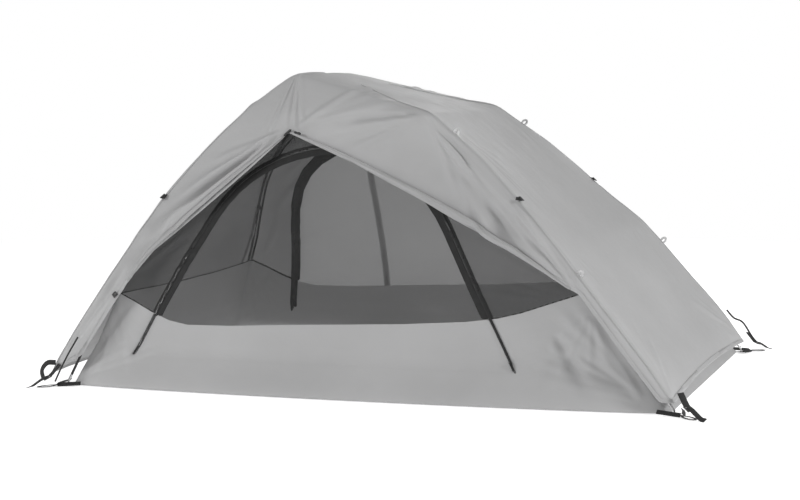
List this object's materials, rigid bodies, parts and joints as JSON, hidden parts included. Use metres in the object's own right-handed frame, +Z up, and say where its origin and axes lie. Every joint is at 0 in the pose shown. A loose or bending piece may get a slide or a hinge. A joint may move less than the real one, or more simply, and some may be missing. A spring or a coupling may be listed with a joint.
{
  "type": "dome tent",
  "caption": "Freestanding dome tent on a hubbed pole frame, with an inner tent of mesh with arched doors and a lift-off rain fly whose front door is rolled back.",
  "frame": {"origin": "centre of the rectangular floor, at ground level", "axes": "+X along the floor towards the low end, -Y towards the front door, +Z up"},
  "size_m": [2.352, 1.742, 1.104],
  "materials": {
    "fly_fabric": "coated ripstop polyester, soft sheen, light grey",
    "tub_fabric": "coated taffeta floor and tub, light grey",
    "canopy_mesh": "fine no-see-um mesh, dark grey",
    "zip_tape": "woven zip tape, near black",
    "zip_coil": "nylon coil, black",
    "webbing": "woven webbing, black",
    "light_webbing": "woven tape, light grey",
    "cord": "braided cord, black",
    "shock_cord": "elastic cord, black",
    "moulded_plastic": "injection-moulded, black",
    "pole_alloy": "anodised tube, satin grey",
    "tip_alloy": "plain turned alloy",
    "grommet_metal": "nickel-plated, satin",
    "slider_metal": "black-painted die cast"
  },
  "bodies": {
    "inner_tent": {"floor_tub": "tub_fabric", "mesh_canopy": "canopy_mesh", "front_zip_band": "zip_tape", "rear_zip_band": "zip_tape", "front_zip_coil": "zip_coil", "rear_zip_coil": "zip_coil", "corner_webbing": "webbing", "corner_grommets": "grommet_metal", "stake_loops": "webbing", "hub_body": "moulded_plastic", "hub_hook": "moulded_plastic", "brow_saddle": "moulded_plastic", "brow_pole": "pole_alloy", "brow_pole_tips": "moulded_plastic", "left_pole_upper_tubes": "pole_alloy", "left_pole_middle_tubes": "pole_alloy", "left_pole_lower_tubes": "pole_alloy", "left_pole_ferrules": "tip_alloy", "right_pole_roof_tubes": "pole_alloy", "right_pole_elbow_tubes": "pole_alloy", "right_pole_middle_tubes": "pole_alloy", "right_pole_lower_tubes": "pole_alloy", "right_pole_ferrules": "tip_alloy", "shock_cords": "shock_cord", "pole_tips": "tip_alloy", "pole_clips": "moulded_plastic"},
    "front_door": {"front_door": "canopy_mesh"},
    "rear_door": {"rear_door": "canopy_mesh"},
    "front_zip_slider": {"front_zip_slider": "slider_metal"},
    "rear_zip_slider": {"rear_zip_slider": "slider_metal"},
    "front_zip_pull": {"front_zip_pull": "cord"},
    "rear_zip_pull": {"rear_zip_pull": "cord"},
    "fly": {"fly_canopy": "fly_fabric", "left_flap_roll": "fly_fabric", "right_flap_roll": "fly_fabric", "fly_zip_coil": "zip_coil", "apex_cords": "cord", "guy_out_loops": "light_webbing", "pole_wrap_tabs": "webbing", "fly_edge_clip": "moulded_plastic", "fly_corner_straps": "webbing"},
    "fly_zip_slider": {"fly_zip_slider": "slider_metal"},
    "fly_zip_pull": {"fly_zip_pull": "cord"},
    "left_flap_toggle": {"left_flap_toggle": "moulded_plastic"},
    "right_flap_toggle": {"right_flap_toggle": "moulded_plastic"},
    "front_left_buckle": {"front_left_buckle": "moulded_plastic", "front_left_tension_strap": "webbing"},
    "front_right_buckle": {"front_right_buckle": "moulded_plastic", "front_right_tension_strap": "webbing"},
    "rear_right_buckle": {"rear_right_buckle": "moulded_plastic", "rear_right_tension_strap": "webbing"},
    "rear_left_buckle": {"rear_left_buckle": "moulded_plastic", "rear_left_tension_strap": "webbing"}
  },
  "joints": [
    {"name": "fly_lift", "type": "slide", "parent": "inner_tent", "child": "fly", "axis": [0, 0, 1], "range_m": [0, 1.25]},
    {"name": "front_door_swing", "type": "hinge", "parent": "inner_tent", "child": "front_door", "pos_m": [-0.16, -0.7165, 0.105], "axis": [-1, 0, 0], "range_deg": [0, 62]},
    {"name": "rear_door_swing", "type": "hinge", "parent": "inner_tent", "child": "rear_door", "pos_m": [-0.16, 0.7165, 0.105], "axis": [1, 0, 0], "range_deg": [0, 35]},
    {"name": "front_zip_travel", "type": "slide", "parent": "inner_tent", "child": "front_zip_slider", "axis": [-0.4837, 0.2155, 0.8483], "range_m": [0, 0.26]},
    {"name": "rear_zip_travel", "type": "slide", "parent": "inner_tent", "child": "rear_zip_slider", "axis": [-0.4837, -0.2155, 0.8483], "range_m": [0, 0.26]},
    {"name": "front_pull_swing", "type": "hinge", "parent": "front_zip_slider", "child": "front_zip_pull", "pos_m": [0.51509, -0.71753, 0.14124], "axis": [0.8687, 0, 0.4953], "range_deg": [-75, 0]},
    {"name": "rear_pull_swing", "type": "hinge", "parent": "rear_zip_slider", "child": "rear_zip_pull", "pos_m": [0.51509, 0.71753, 0.14124], "axis": [0.8687, 0, 0.4953], "range_deg": [0, 75]},
    {"name": "fly_zip_travel", "type": "slide", "parent": "fly", "child": "fly_zip_slider", "axis": [0, -0.2829, 0.9592], "range_m": [0, 0.2]},
    {"name": "fly_pull_swing", "type": "hinge", "parent": "fly_zip_slider", "child": "fly_zip_pull", "pos_m": [-0.375, 0.79467, 0.0913], "axis": [-1, 0, 0], "range_deg": [-75, 0]},
    {"name": "left_toggle_turn", "type": "hinge", "parent": "fly", "child": "left_flap_toggle", "pos_m": [-0.374, -0.4942, 0.888], "axis": [0, 1, 0], "range_deg": [-90, 90]},
    {"name": "right_toggle_turn", "type": "hinge", "parent": "fly", "child": "right_flap_toggle", "pos_m": [-0.33, -0.5019, 0.888], "axis": [0, 1, 0], "range_deg": [-90, 90]},
    {"name": "front_left_buckle_tilt", "type": "hinge", "parent": "fly", "child": "front_left_buckle", "pos_m": [-1.12498, -0.81998, 0.038], "axis": [-0.7071, 0.7071, 0], "range_deg": [0, 70]},
    {"name": "front_right_buckle_tilt", "type": "hinge", "parent": "fly", "child": "front_right_buckle", "pos_m": [1.12498, -0.81998, 0.038], "axis": [-0.7071, -0.7071, 0], "range_deg": [0, 70]},
    {"name": "rear_right_buckle_tilt", "type": "hinge", "parent": "fly", "child": "rear_right_buckle", "pos_m": [1.12498, 0.81998, 0.038], "axis": [0.7071, -0.7071, 0], "range_deg": [0, 70]},
    {"name": "rear_left_buckle_tilt", "type": "hinge", "parent": "fly", "child": "rear_left_buckle", "pos_m": [-1.12498, 0.81998, 0.038], "axis": [0.7071, 0.7071, 0], "range_deg": [0, 70]}
  ]
}
